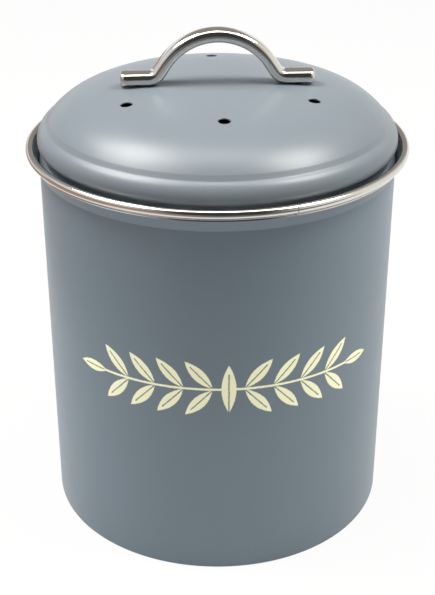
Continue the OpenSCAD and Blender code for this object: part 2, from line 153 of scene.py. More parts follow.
class LidSizes(bpy.types.PropertyGroup):
    """Sizes of the lid, its neck and its handle."""

    gauge: length("Gauge", "Thickness of the sheet steel", 0.7 * MM)
    radius: length("Lid radius", "Radius of the lid's widest line", LID_RADIUS)
    stand: length("Lid height", "Height of the widest line above the rim roll", 4.4 * MM)
    bead_radius: length("Bead", "Radius of the bead round the lid's edge", 8.5 * MM)
    tuck_radius: length("Tuck", "Radius at which the edge turns under", 1.8 * MM)
    crease_at: length("Crease", "How far the crease lies inside the widest line", 6.5 * MM)
    crease_width: length("Crease width", "Width of the crease", 1.8 * MM)
    crease_depth: length("Crease depth", "Depth of the crease", 2.43 * MM)
    crease_round: length("Crease corners", "Radius of the crease's two corners", 2.4 * MM)
    crown_rise: length("Crown rise", "Rise of the crown above the crease", 15.9 * MM)
    crown_dome: share("Dome", "Share of the rise that is an even dome", 0.25)
    crown_power: bpy.props.FloatProperty(
        name="Shoulder",
        description="3 is a bowl, 8 is a flat plate with a short shoulder",
        default=6.9,
        min=2.0,
        max=9.0,
    )
    neck_gauge: length("Neck gauge", "Thickness of the neck's sheet", 0.7 * MM)
    neck_room: length("Neck room", "Room between the neck and the wall", 2 * MM)
    neck_depth: length("Neck depth", "How far the neck reaches down below the rim roll's middle", 13 * MM)
    neck_bend: length("Neck bend", "Radius between the neck and its flange", 1 * MM)
    neck_curl: length("Neck curl", "Radius of the curl along the neck's lower edge", 1 * MM)
    flange_in: length("Flange edge", "How far the flange stays inside the widest line", 1.9 * MM)
    seat_bead: length("Seat bead", "Outside radius of the bead that rests in the flare", 1.6 * MM)
    seat_depth: length("Seat depth", "How far the bead lies below the rim roll's middle", 6.5 * MM)
    seat_gap: length("Seat gap", "Gap between the bead and the flare", 0.3 * MM)
    vent_radius: length("Vent radius", "Radius of a vent hole", 3 * MM)
    vent_circle: length("Vent circle", "Radius of the circle of vents", 52 * MM)
    vent_edge: length("Vent edge", "Radius of the rounded edge of a vent hole", 0.25 * MM)
    vent_count: bpy.props.IntProperty(
        name="Vents", description="Number of vent holes", default=6, min=1, max=12
    )
    bar_width: length("Bar width", "Width of the handle's bar", BOW_HIGH[1] - BOW_LOW[1])
    bar_thickness: length("Bar thickness", "Thickness of the handle's bar", 6.6 * MM)
    bar_edge: length("Bar edge", "Radius of the bar's long edges", 3 * MM)
    bow_radius: length("Bow", "Radius of the bow", 31 * MM)
    bend_radius: length("Bend", "Radius between a leg and its foot", 6.5 * MM)
    foot_corner: length("Foot corner", "Radius of the feet's corners", 2.5 * MM)
    foot_edge: length("Foot edge", "Radius of the upper and lower edge at a foot's end", 0.9 * MM)
    leg_slope: bearing("Leg slope", "Slope of the handle's legs", 56)


class CaddyLooks(bpy.types.PropertyGroup):
    """Colours and finishes."""

    coat: colour("Powder coat", "Blue-grey coat of the bin", (0.142, 0.190, 0.235))
    # The lid's coat is the bin's coat made greyer and darker: painted light and shade for how the lamps and their
    # sheen fall on the lid's top, not a different paint.
    lid_coat: colour("Lid's coat", "Blue-grey coat of the lid, a little greyer", (0.142, 0.168, 0.195))
    coat_roughness: share("Coat roughness", "Roughness of the powder coat", 0.36)
    band: colour("Printed band", "Cream of the leaf band", (0.95, 0.95, 0.66))
    steel: colour("Polished steel", "Trim and handle", (0.72, 0.70, 0.67))
    steel_roughness: share("Steel roughness", "Roughness of the polished steel", 0.11)
    fastener: colour("Fastener steel", "Screws and washers", (0.50, 0.50, 0.49))
    moulding: colour("Moulding", "Filter housing and tray", (0.020, 0.021, 0.023))
    felt: colour("Felt", "Charcoal filter pad", (0.012, 0.012, 0.013))


class StageLooks(bpy.types.PropertyGroup):
    """Floor, room and lamps."""

    floor: colour("Floor", "Colour of the floor", (0.62, 0.62, 0.62))
    floor_glow: share("Floor glow", "Share of plain white in the floor, where it is seen", 0.93)
    ceiling: colour("Ceiling", "Ceiling and far wall of the room", (0.32, 0.30, 0.27))
    left_wall: colour("Left wall", "Light that comes from the left", (0.86, 0.90, 0.96))
    right_wall: colour("Right wall", "Light that comes from the right", (0.95, 0.94, 0.86))
    near_floor: colour("Near floor", "Front end of the floor, as mirrors see it", (0.10, 0.10, 0.10))
    low_left: colour("Low left", "Brown things low down on the left", (0.40, 0.26, 0.18))
    near_wall: colour("Near wall", "Dark end of the room, behind the camera", (0.05, 0.05, 0.05))
    overhead: watts("Overhead lamps", 10.8)
    left: watts("Left lamp", 19.5)
    right: watts("Right lamp", 12.5)


# Shapes ------------------------------------------------------------------


def arc(centre, radius, start, end, steps):
    """Part of a circle: centre + radius (cos a, sin a), a from start to end in degrees."""
    a = np.radians(np.linspace(start, end, steps + 1))
    return np.asarray(centre) + radius * np.stack([np.cos(a), np.sin(a)], axis=-1)


def beside(path, distance):
    """The path moved to its left by distance: each point goes along the mitre of the normals around it."""
    step = np.diff(path, axis=0)
    normal = np.stack([-step[:, 1], step[:, 0]], axis=-1) / np.linalg.norm(step, axis=1, keepdims=True)
    before, after = np.vstack([normal[:1], normal]), np.vstack([normal, normal[-1:]])
    return path + distance * (before + after) / (1 + np.sum(before * after, axis=1, keepdims=True))


def eased(path, at, radius, steps=6):
    """The path with its corner at index at rounded: an arc of that radius, tangent to both sides."""
    before, corner, after = path[at - 1], path[at], path[at + 1]
    one = (before - corner) / np.linalg.norm(before - corner)
    two = (after - corner) / np.linalg.norm(after - corner)
    half = math.acos(np.clip(one @ two, -1, 1)) / 2
    bisector = (one + two) / np.linalg.norm(one + two)
    centre = corner + bisector * radius / math.sin(half)
    ends = [corner + side * radius / math.tan(half) - centre for side in (one, two)]
    first, last = (math.atan2(end[1], end[0]) for end in ends)
    turn = (last - first + math.pi) % (2 * math.pi) - math.pi
    a = first + turn * np.linspace(0, 1, steps + 1)
    curve = centre + radius * np.stack([np.cos(a), np.sin(a)], axis=-1)
    return np.vstack([path[:at], curve, path[at + 1 :]])


def sheet(path, gauge):
    """Closed section of a sheet that follows a middle line: half the gauge to its left, half to its right."""
    return closed(np.vstack([beside(path, gauge / 2), beside(path, -gauge / 2)[::-1]]))


def closed(section):
    """The section as a loop that runs anticlockwise, so that what is turned from it faces outwards."""
    r, z = section[:, 0], section[:, 1]
    area = np.sum(r * np.roll(z, -1) - np.roll(r, -1) * z)
    loop = section if area > 0 else section[::-1]
    return np.vstack([loop, loop[:1]])


def turned(section, start=0.0, sweep=360.0, steps=TURNS):
    """A section (r, z) turned about Z: (r cos a, r sin a, z) for a from start through sweep degrees."""
    a = np.radians(start + sweep * np.arange(steps + 1) / steps)
    r, z = section[:, :1], section[:, 1:]
    return np.stack([r * np.cos(a), r * np.sin(a), np.broadcast_to(z, (len(section), len(a)))], axis=-1)


def at_angle(places, angle):
    """Places (r, z) put at one angle round the axis: (r cos a, r sin a, z)."""
    a = math.radians(angle)
    r, z = places[..., 0], places[..., 1]
    return np.stack([r * math.cos(a), r * math.sin(a), z], axis=-1)


def end_faces(path, gauge, angle, facing):
    """The cut end of a turned sheet: its left and right sides at one angle, joined straight across."""
    return at_angle(np.stack([beside(path, gauge / 2), beside(path, -gauge / 2)])[::facing], angle)


def lap_end(inner, outer, low, high, angle, facing):
    """One end of the lapped strip: a flat rectangle at one angle, between two radii and two heights."""
    corners = np.array([[[inner, low], [outer, low]], [[inner, high], [outer, high]]])
    return at_angle(corners, angle)[::facing]


def add_piece(name, grids, material, body, replaced, sharp=38.0):
    """One object from grids of points: each cell of a grid is a quad, and points that meet are joined."""
    points, quads, base = [], [], 0
    for grid in grids:
        rows, columns = grid.shape[:2]
        index = base + np.arange(rows * columns).reshape(rows, columns)
        cells = np.stack([index[:-1, :-1], index[:-1, 1:], index[1:, 1:], index[1:, :-1]], axis=-1)
        quads.append(cells.reshape(-1, 4))
        points.append(grid.reshape(-1, 3))
        base += rows * columns
    points, quads = np.vstack(points), np.vstack(quads)
    mesh = bpy.data.meshes.new(name)
    mesh.vertices.add(len(points))
    mesh.vertices.foreach_set("co", points.astype(np.float32).ravel())
    mesh.loops.add(quads.size)
    mesh.loops.foreach_set("vertex_index", quads.astype(np.int32).ravel())
    mesh.polygons.add(len(quads))
    mesh.polygons.foreach_set("loop_start", np.arange(0, quads.size, 4, dtype=np.int32))
    mesh.update(calc_edges=True)
    work = bmesh.new()
    work.from_mesh(mesh)
    bmesh.ops.remove_doubles(work, verts=work.verts, dist=2e-6)
    bmesh.ops.dissolve_degenerate(work, edges=work.edges, dist=1e-7)
    work.to_mesh(mesh)
    work.free()
    mesh.shade_smooth()
    mesh.set_sharp_from_angle(angle=math.radians(sharp))
    piece = bpy.data.objects.new(name, mesh)
    bpy.context.collection.objects.link(piece)
    mesh.materials.append(material)
    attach(piece, body)
    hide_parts(*replaced)
    return piece


# Finishes ----------------------------------------------------------------


class Signal:
    """A number in a node tree, worked out with ordinary operators: each one adds a Math node."""

    def __init__(self, nodes, socket):
        self.nodes, self.socket = nodes, socket

    def __add__(self, other):
        return self.nodes.math("ADD", self, other)

    def __sub__(self, other):
        return self.nodes.math("SUBTRACT", self, other)

    def __rsub__(self, other):
        return self.nodes.math("SUBTRACT", other, self)

    def __mul__(self, other):
        return self.nodes.math("MULTIPLY", self, other)

    def __truediv__(self, other):
        return self.nodes.math("DIVIDE", self, other)

    def __rtruediv__(self, other):
        return self.nodes.math("DIVIDE", other, self)

    def __mod__(self, other):
        return self.nodes.math("FLOORED_MODULO", self, other)

    def __rmod__(self, other):
        return self.nodes.math("FLOORED_MODULO", other, self)

    def __neg__(self):
        return self.nodes.math("MULTIPLY", self, -1.0)

    def __abs__(self):
        return self.nodes.math("ABSOLUTE", self)

    def lesser(self, other):
        return self.nodes.math("MINIMUM", self, other)

    def greater(self, other):
        return self.nodes.math("MAXIMUM", self, other)

    def swing(self, amount):
        """A number from 0 to 1 as a change of up to half the amount, up or down."""
        return (self - 0.5) * amount

    def rising(self, low, high):
        """0 up to low and 1 from high on, with a soft step between them."""
        limits = {"Value": self, "From Min": low, "From Max": high}
        return self.nodes.node("ShaderNodeMapRange", {"interpolation_type": "SMOOTHSTEP"}, limits)

    def inside(self, soft):
        """1 where the number is above zero and 0 below, over a soft step."""
        return self.rising(-soft, soft)

    __radd__ = __add__
    __rmul__ = __mul__


class Nodes:
    """A node tree that is being filled: its nodes come from the one method, node."""

    def __init__(self, tree):
        self.tree = tree
        tree.nodes.clear()

    def node(self, kind, settings, inputs, output=0):
        """Adds a node: its settings first, then the values or links of its sockets.

        Gives one of its outputs, if it has any.
        """
        node = self.tree.nodes.new(kind)
        for key, value in settings.items():
            setattr(node, key, value)
        for key, value in inputs.items():
            self.join(node.inputs[key], value)
        return Signal(self, node.outputs[output]) if node.outputs else None

    def join(self, socket, value):
        """Links a signal to a socket, or sets the socket's value."""
        if isinstance(value, Signal):
            self.tree.links.new(value.socket, socket)
        elif socket.type == "RGBA":
            socket.default_value = (*value[:3], 1.0)
        else:
            socket.default_value = value

    def math(self, operation, *numbers):
        """A Math node on one, two or three numbers."""
        return self.node("ShaderNodeMath", {"operation": operation}, dict(enumerate(numbers)))

    def split(self, vector):
        """The three coordinates of a place or a direction."""
        return [self.node("ShaderNodeSeparateXYZ", {}, {"Vector": vector}, axis) for axis in "XYZ"]

    def mixed(self, amount, low, high):
        """Colour low where amount is 0 and high where it is 1."""
        colours = {"Factor": amount, "A": low, "B": high}
        return self.node("ShaderNodeMix", {"data_type": "RGBA"}, colours, "Result")

    def ray(self, kind):
        """1 for a ray of that kind (Camera, Glossy or Transmission), and 0 for any other."""
        return self.node("ShaderNodeLightPath", {}, {}, f"Is {kind} Ray")

    def seen(self):
        """1 for what is seen by the camera, in a mirror or through glass, and 0 for light on its way."""
        return self.ray("Camera").greater(self.ray("Glossy")).greater(self.ray("Transmission"))


class Finish(Nodes):
    """A material that is being made."""

    def __init__(self, name, **constants):
        self.material = bpy.data.materials.new(name)
        self.material.use_nodes = True
        super().__init__(self.material.node_tree)
        surface = self.node("ShaderNodeBsdfPrincipled", {}, {})
        self.shader = surface.socket.node
        self.node("ShaderNodeOutputMaterial", {}, {"Surface": surface})
        self.place = self.node("ShaderNodeTexCoord", {}, {}, "Object")
        self.set(**constants)

    def set(self, **sockets):
        """Sets or links the shader's own sockets: Base_Color=... stands for Base Color."""
        for key, value in sockets.items():
            self.join(self.shader.inputs[key.replace("_", " ")], value)

    def noise(self, scale, detail=3.0, roughness=0.5, stretch=(1.0, 1.0, 1.0)):
        """Smooth noise from 0 to 1, with scale cells to a metre."""
        placed = self.node("ShaderNodeMapping", {}, {"Vector": self.place, "Scale": stretch})
        sockets = {"Vector": placed, "Scale": scale, "Detail": detail, "Roughness": roughness}
        return self.node("ShaderNodeTexNoise", {}, sockets, "Fac")

    def bumped(self, height, strength, distance):
        """The surface's normal, tilted by a height that is that distance at its full strength."""
        sockets = {"Height": height, "Strength": strength, "Distance": distance}
        return self.node("ShaderNodeBump", {}, sockets, "Normal")


def shaded(rgb, factor):
    """A colour made darker or lighter by a factor."""
    return tuple(min(1.0, channel * factor) for channel in rgb)


def leaf(across, up, centre, tilt, half_length, half_width, vein):
    """A pointed leaf: its width falls off as 1 - (p / half_length)^2 along it, with a bare vein in its middle."""
    vein_end = 0.62
    c, s = math.cos(math.radians(tilt)), math.sin(math.radians(tilt))
    du, dv = across - centre[0], up - centre[1]
    along, aside = du * c + dv * s, abs(dv * c - du * s)
    reach = along / half_length
    edge = (1 - reach * reach) * half_width - aside
    return edge.lesser((aside - vein).greater(along - half_length * vein_end))


def leaf_band(finish):
    """Mask of the printed band: on each side of an upright leaf, a stem with a pair of leaves at every step.

    The place on the band is the length round the wall and the height above the band's middle, in millimetres.
    """
    wall_radius, band_height = 90.0, 108.0
    first, step, count = 7.3, 14.2, 4
    tip_at, stem_half, stem_start, stem_past = 8.3, 0.6, 3.1, 1.0
    wear, soft_edge, soft_side = 0.5, 0.22, 0.001
    x, y, z = finish.split(finish.place)
    across = abs(finish.math("ARCTAN2", x, -y) * wall_radius)
    up = z * 1000.0 - band_height
    local = (across - first) % step
    row_end = first + step * count
    pair = leaf(local, abs(up), (7.2, 7.6), tilt=47.0, half_length=9.8, half_width=3.1, vein=0.30)
    leaves = pair.lesser((across - first).lesser(row_end - across))
    tip = leaf(across, up, (row_end + tip_at, 0.0), tilt=0.0, half_length=8.8, half_width=2.9, vein=0.30)
    stem = (stem_half - abs(up)).lesser((row_end + stem_past - across).lesser(across - stem_start))
    middle = leaf(across, up, (0.0, 0.0), tilt=90.0, half_length=13.2, half_width=3.6, vein=0.32)
    worn = finish.noise(900.0, detail=2.0).swing(wear)
    mask = leaves.greater(tip).greater(stem).greater(middle) + worn
    return mask.inside(soft_edge) * (-y).inside(soft_side)


def powder_coat(name, looks, paint=None, band=False):
    """Satin powder coat: a fine pebbled skin, a faint cloudiness, and rubbed spots a little glossier."""
    finish = Finish(name, IOR=1.5)
    paint = paint or looks.coat
    cloud = finish.noise(22.0)
    speck = finish.noise(1500.0, detail=2.0)
    rub = finish.noise(70.0, detail=5.0, roughness=0.65)
    tone = finish.mixed(cloud * 0.6 + speck * 0.4, shaded(paint, 0.93), shaded(paint, 1.07))
    rough = rub.swing(0.10) + speck.swing(0.06) + looks.coat_roughness
    if band:
        print_dullness = 0.12
        mask = leaf_band(finish)
        tone = finish.mixed(mask, tone, looks.band)
        rough = rough + mask * print_dullness
    finish.set(Base_Color=tone, Roughness=rough, Normal=finish.bumped(speck, 0.10, 0.05 * MM))
    return finish.material


def polished_steel(name, looks, stretch):
    """Polished stainless steel: faint polishing lines, and thin smears that dull the mirror."""
    finish = Finish(name, Metallic=1.0)
    lines = finish.noise(2600.0, detail=2.0, stretch=stretch)
    smear = finish.noise(120.0, detail=4.0, roughness=0.6)
    tone = finish.mixed(smear, shaded(looks.steel, 0.95), shaded(looks.steel, 1.05))
    rough = smear.swing(0.06) + lines.swing(0.05) + looks.steel_roughness
    finish.set(Base_Color=tone, Roughness=rough, Normal=finish.bumped(lines, 0.04, 0.03 * MM))
    return finish.material


def fastener_steel(name, looks):
    """Plain steel with a grain and a slight tarnish."""
    finish = Finish(name, Metallic=1.0)
    grain = finish.noise(1800.0)
    tarnish = finish.noise(240.0)
    tone = finish.mixed(tarnish, shaded(looks.fastener, 0.82), shaded(looks.fastener, 1.08))
    rough = 0.34 + grain * 0.12
    finish.set(Base_Color=tone, Roughness=rough, Normal=finish.bumped(grain, 0.08, 0.04 * MM))
    return finish.material


def moulded_plastic(name, looks):
    """Dark moulded plastic with a spark-eroded grain and soft handling marks."""
    finish = Finish(name, IOR=1.46)
    grain = finish.noise(1400.0, detail=4.0, roughness=0.7)
    marks = finish.noise(60.0, detail=4.0)
    tone = finish.mixed(marks, shaded(looks.moulding, 0.85), shaded(looks.moulding, 1.5))
    rough = 0.50 + marks.swing(0.16) + grain.swing(0.08)
    finish.set(Base_Color=tone, Roughness=rough, Normal=finish.bumped(grain, 0.25, 0.12 * MM))
    return finish.material


def charcoal_felt(name, looks):
    """Needled felt full of charcoal: matted fibres, grey ones among the black."""
    finish = Finish(name, Specular_IOR_Level=0.2)
    fibres = finish.noise(900.0, detail=6.0, roughness=0.75, stretch=(1.0, 1.0, 2.5))
    tufts = finish.noise(180.0, detail=4.0, roughness=0.6)
    tone = finish.mixed(fibres * tufts, shaded(looks.felt, 0.5), shaded(looks.felt, 5.0))
    rough = 0.94 + fibres.swing(0.08)
    finish.set(Base_Color=tone, Roughness=rough, Normal=finish.bumped(fibres + tufts, 0.7, 0.5 * MM))
    return finish.material


def finish_named(name, make, **options):
    """The material of that name, made the first time that it is asked for."""
    return bpy.data.materials.get(name) or make(name, bpy.context.scene.caddy_looks, **options)


def lid_finish():
    """The coat of the lid and its neck: the bin's coat made greyer and darker, with painted light and shade for how
    the lamps and their sheen fall on the lid's top.
    """
    return finish_named("lid_coat", powder_coat, paint=bpy.context.scene.caddy_looks.lid_coat)


# The bin -----------------------------------------------------------------


def flare_lean(sizes):
    """The flared mouth: its lean from upright, the radius and middle of the curl at its top, and its foot.

    The lean is the angle of the line from foot to middle, less asin(curl / its length), so it is tangent to the curl.
    """
    curl = sizes.roll_radius - sizes.trim_gauge - SEAM_GAP - sizes.gauge / 2
    middle = np.array([sizes.wall_radius + sizes.flare_out, sizes.rim_height])
    foot = np.array([sizes.wall_radius - sizes.gauge / 2, sizes.rim_height - sizes.flare_height])
    run = middle - foot
    lean = math.atan2(run[0], run[1]) - math.asin(curl / np.linalg.norm(run))
    return lean, curl, middle, foot


class CADDY_OT_bin_wall(bpy.types.Operator):
    """Add the rolled bin wall with its hem, flared mouth, curl and lapped seam"""

    bl_idname = "caddy.bin_wall"
    bl_label = "Bin wall"

    def execute(self, context):
        """The wall is turned from one line: hem, two bends, straight wall, leaning flare and curl."""
        sizes = context.scene.caddy_bin
        gauge, bend, curl_end = sizes.gauge, sizes.hem_bend, -120
        wall = sizes.wall_radius - gauge / 2
        hem = sizes.wall_radius - sizes.hem_width + gauge / 2
        lean, curl, middle, foot = flare_lean(sizes)
        below = np.vstack(
            [
                [[hem, sizes.hem_height]],
                arc([hem + bend, gauge / 2 + bend], bend, 180, 270, 8),
                arc([wall - bend, gauge / 2 + bend], bend, 270, 360, 8),
            ]
        )
        mouth = arc(middle, curl, 180 - math.degrees(lean), curl_end, 40)
        path = eased(np.vstack([below, foot, mouth]), len(below), sizes.flare_bend, 10)
        half_lap = math.degrees(sizes.lap_width / sizes.wall_radius) / 2
        low, high = sizes.lap_foot, foot[1] - gauge
        within, meet = sizes.wall_radius - 2 * gauge, sizes.wall_radius - gauge + SEAM_GAP
        lap = closed(np.array([[within, low], [meet, low], [meet, high], [within, high]]))
        ends = [lap_end(within, meet, low, high, BACK + side * half_lap, -side) for side in (-1, 1)]
        grids = [turned(sheet(path, gauge)), turned(lap, BACK - half_lap, 2 * half_lap, 4), *ends]
        coat = finish_named("bin_coat", powder_coat, band=True)
        add_piece("bin_wall", grids, coat, "bin", ["body_shell"])
        return {"FINISHED"}


class CADDY_OT_base(bpy.types.Operator):
    """Add the recessed base with its stiffening bead and the fold that hooks the hem"""

    bl_idname = "caddy.base"
    bl_label = "Base"

    def execute(self, context):
        """The base is turned from one line: floor with its bead, corner, upturned edge, fold and hook.

        The bead is z = floor + height / 2 (1 + cos a) at r = middle + width / 2 (a / 180), a from -180 to 180.
        """
        sizes = context.scene.caddy_bin
        gauge, corner = sizes.base_gauge, sizes.base_corner
        hem = sizes.wall_radius - sizes.hem_width + sizes.gauge / 2
        floor = sizes.base_recess + gauge / 2
        wall = hem - sizes.gauge / 2 - SEAM_GAP - gauge / 2
        top = sizes.hem_height + SEAM_GAP + gauge / 2
        hook_in = hem + sizes.gauge / 2 + SEAM_GAP + gauge / 2
        hook_out = sizes.wall_radius - sizes.gauge - 2 * SEAM_GAP - gauge / 2
        hook_z = sizes.gauge + 4 * SEAM_GAP + gauge / 2
        hook, fold = (hook_out - hook_in) / 2, gauge / 2 + SEAM_GAP
        a = np.linspace(-180, 180, 33)
        bead_r = sizes.base_bead_at + sizes.base_bead_width / 2 * a / 180
        bead_z = floor + sizes.base_bead_height / 2 * (1 + np.cos(np.radians(a)))
        path = np.vstack(
            [
                [[0, floor]],
                np.stack([bead_r, bead_z], axis=-1),
                arc([wall - corner, floor + corner], corner, 270, 360, 8),
                arc([wall + fold, top - fold], fold, 180, 90, 6),
                arc([hook_in - fold, top - fold], fold, 90, 0, 6),
                arc([hook_in + hook, hook_z + hook], hook, 180, 360, 12),
                [[hook_out, sizes.hem_height - 2 * sizes.gauge]],
            ]
        )
        coat = finish_named("plain_coat", powder_coat)
        add_piece("base", [turned(sheet(path, gauge))], coat, "bin", ["base_pan"])
        return {"FINISHED"}


class CADDY_OT_rim_trim(bpy.types.Operator):
    """Add the polished trim rolled round the rim, open at its butt joint"""

    bl_idname = "caddy.rim_trim"
    bl_label = "Rim trim"

    def execute(self, context):
        """The trim is turned from one line: inner edge, roll and lip.

        The lip's middle lies a roll radius plus a lip radius from the roll's middle, and the lip keeps its gap off
        the flare.
        """
        sizes = context.scene.caddy_bin
        lean, curl, middle, _ = flare_lean(sizes)
        gauge, lip, lip_turn = sizes.trim_gauge, sizes.lip_radius, 225
        roll = sizes.roll_radius - gauge / 2
        arm = roll + lip
        step = lip + gauge / 2 + sizes.gauge / 2 + sizes.lip_gap - curl
        up, out = np.array([math.sin(lean), math.cos(lean)]), np.array([math.cos(lean), -math.sin(lean)])
        lip_middle = middle + step * out - math.sqrt(arm**2 - step**2) * up
        towards = math.degrees(math.atan2(lip_middle[1] - middle[1], lip_middle[0] - middle[0]))
        over = arc(middle, roll, 180 - math.degrees(lean), towards, 48)
        under = arc(lip_middle, lip, towards + 180, towards + 180 + lip_turn, 24)
        path = np.vstack([over[:1] - sizes.trim_inside * up, over, under[1:]])
        joint = math.degrees(sizes.joint_width / middle[0])
        start = FRONT + math.degrees(sizes.joint_at) + joint / 2
        grids = [
            turned(sheet(path, gauge), start, 360 - joint),
            end_faces(path, gauge, start, -1),
            end_faces(path, gauge, start - joint, 1),
        ]
        steel = finish_named("trim_steel", polished_steel, stretch=(0.3, 0.3, 6.0))
        add_piece("rim_trim", grids, steel, "bin", ["rim_ring"])
        return {"FINISHED"}


# The lid -----------------------------------------------------------------


def lid_lines(lid, bin_sizes):
    """Outer line of the lid from its vents to its edge, and the crown's outer and inner height over r.

    The crown is z = apex - rise (dome k^2 + (1 - dome) k^power) with k = r / crease. Then come the crease with
    its rounded corners, the bead and the turned-under edge. The bead's first step is long enough for the
    corner's tangent, and the bead runs past degrees below the widest line.
    """
    past, first_step = 10.0, 8.0
    below = np.array([math.cos(math.radians(past)), -math.sin(math.radians(past))])
    bead = np.array([lid.radius - lid.bead_radius, bin_sizes.rim_height + lid.stand])
    tuck = bead + (lid.bead_radius - lid.tuck_radius) * below
    inner = lid.radius - lid.crease_at
    outer = inner + lid.crease_width
    start = math.degrees(math.acos((outer - bead[0]) / lid.bead_radius))
    crease_top = bead[1] + lid.bead_radius * math.sin(math.radians(start)) + lid.crease_depth
    apex = crease_top + lid.crown_rise
    neck_middle = bin_sizes.wall_radius - bin_sizes.gauge - lid.neck_room - lid.gauge / 2

    def crown(r):
        """The crown's top, as above."""
        k = r / inner
        return apex - lid.crown_rise * (lid.crown_dome * k**2 + (1 - lid.crown_dome) * k**lid.crown_power)

    def under(r):
        """The crown's underside: lower than its top by gauge sqrt(1 + slope^2)."""
        k = r / inner
        steep = 2 * lid.crown_dome * k + (1 - lid.crown_dome) * lid.crown_power * k ** (lid.crown_power - 1)
        return crown(r) - lid.gauge * np.sqrt(1 + (lid.crown_rise / inner * steep) ** 2)

    radii = np.linspace(lid.vent_circle + VENT_PATCH, inner, CROWN_ROWS)
    line = np.vstack(
        [
            np.stack([radii, crown(radii)], axis=-1),
            arc(bead, lid.bead_radius, start, start - first_step, 1),
            arc(bead, lid.bead_radius, start - first_step, -past, 34)[1:],
            arc(tuck, lid.tuck_radius, -past, -90, 14)[1:],
            [[neck_middle + lid.neck_bend + 2 * SEAM_GAP, tuck[1] - lid.tuck_radius]],
        ]
    )
    line = eased(line, CROWN_ROWS, lid.crease_round, 8)
    line = eased(line, CROWN_ROWS - 1, lid.crease_round, 4)
    return line, crown, under


def crown_grid(radii, angles, height):
    """Part of the crown: (r cos a, r sin a, height(r)) over rows of radii and columns of angles in degrees."""
    r, a = np.meshgrid(radii, np.radians(angles), indexing="ij")
    return np.stack([r * np.cos(a), r * np.sin(a), height(r)], axis=-1)


def vent_grid(middle, low, high, hole, edge, crown, under):
    """One vent: straight lines from a patch's border to the hole, over its edge, down it and back underneath.

    The border is a loop of places on the crown, the same as its neighbours' places, so the patch joins them.
    """
    columns = np.arange(-PATCH_HALF, PATCH_HALF + 1)
    rows = np.linspace(low, high, PATCH_ROWS)
    border = [(low, a) for a in columns[:-1]] + [(r, PATCH_HALF) for r in rows[:-1]]
    border += [(high, a) for a in columns[:0:-1]] + [(r, -PATCH_HALF) for r in rows[:0:-1]]
    border = np.array(border + border[:1], dtype=float)
    a = np.radians(middle + border[:, 1])
    corners = np.stack([border[:, 0] * np.cos(a), border[:, 0] * np.sin(a)], axis=-1)
    centre = (low + high) / 2 * np.array([math.cos(math.radians(middle)), math.sin(math.radians(middle))])
    reach = np.linalg.norm(corners - centre, axis=1, keepdims=True)
    towards = (corners - centre) / reach

    def loop(out, height, drop=0.0):
        """The places at a distance out from the vent's middle, at their height on the crown less a drop."""
        place = centre + towards * out
        return np.column_stack([place, height(np.linalg.norm(place, axis=1)) - drop])

    lines = [loop(reach + (hole + edge - reach) * s, crown) for s in np.linspace(0, 1, 9)]
    for turn in np.radians([22.5, 45, 67.5, 90]):
        lines.append(loop(hole + edge * (1 - math.sin(turn)), crown, edge * (1 - math.cos(turn))))
    lines += [loop(reach + (hole - reach) * s, under) for s in np.linspace(1, 0, 9)]
    return np.stack(lines)


class CADDY_OT_lid_cover(bpy.types.Operator):
    """Add the pressed lid with its crown, vents, crease, bead and turned-under edge"""

    bl_idname = "caddy.lid_cover"
    bl_label = "Lid cover"

    def execute(self, context):
        lid = context.scene.caddy_lid
        line, crown, under = lid_lines(lid, context.scene.caddy_bin)
        below = beside(line, -lid.gauge)
        below[0] = [line[0, 0], under(line[0, 0])]
        low, high = lid.vent_circle - VENT_PATCH, lid.vent_circle + VENT_PATCH
        inner_radii = low * np.sin(np.radians(np.linspace(0, 90, INNER_ROWS)))
        all_round = np.arange(0, TURNS + 1)
        grids = [turned(line[::-1]), turned(below), turned(np.vstack([below[-1:], line[-1:]]))]
        grids += [crown_grid(inner_radii[::-1], all_round, crown), crown_grid(inner_radii, all_round, under)]
        rows = np.linspace(low, high, PATCH_ROWS)
        pitch = 360 // lid.vent_count
        for vent in range(lid.vent_count):
            middle = FRONT + vent * pitch
            plain = np.arange(middle + PATCH_HALF, middle + pitch - PATCH_HALF + 1)
            grids += [crown_grid(rows[::-1], plain, crown), crown_grid(rows, plain, under)]
            grids.append(vent_grid(middle, low, high, lid.vent_radius, lid.vent_edge, crown, under))
        add_piece("lid_cover", grids, lid_finish(), "lid", ["lid_dome"])
        return {"FINISHED"}


class CADDY_OT_neck(bpy.types.Operator):
    """Add the neck under the lid with its flange, seating bead and curl"""

    bl_idname = "caddy.neck"
    bl_label = "Lid neck"

    def execute(self, context):
        """The neck is turned from one line: flange, bend, seating bead, straight plug and curl.

        The seating bead wraps some degrees each way, and straight flanks lead from it back to the neck.
        """
        lid, sizes = context.scene.caddy_lid, context.scene.caddy_bin
        gauge, curl, wrap, curl_end = lid.neck_gauge, lid.neck_curl, 60.0, -150
        line = lid_lines(lid, sizes)[0]
        middle = sizes.wall_radius - sizes.gauge - lid.neck_room - gauge / 2
        flange = line[-1, 1] + lid.gauge + SEAM_GAP + gauge / 2
        lean, _, _, foot = flare_lean(sizes)
        seat_z = sizes.rim_height - lid.seat_depth
        mouth = foot[0] + (seat_z - foot[1]) * math.tan(lean) - sizes.gauge / 2 / math.cos(lean)
        seat_r = mouth - (lid.seat_bead + lid.seat_gap) / math.cos(lean)
        bend = lid.seat_bead - gauge / 2
        flank = (seat_r + bend * math.cos(math.radians(wrap)) - middle) / math.tan(math.radians(wrap))
        half = bend * math.sin(math.radians(wrap)) + flank
        low = sizes.rim_height - lid.neck_depth
        path = np.vstack(
            [
                [[lid.radius - lid.flange_in, flange]],
                [[middle, flange]],
                [[middle, seat_z + half]],
                arc([seat_r, seat_z], bend, wrap, -wrap, 16),
                [[middle, seat_z - half]],
                arc([middle - curl, low + curl], curl, 0, curl_end, 20),
            ]
        )
        path = eased(path, 1, lid.neck_bend, 8)
        add_piece("neck", [turned(sheet(path, gauge))], lid_finish(), "lid", ["lid_neck"])
        return {"FINISHED"}


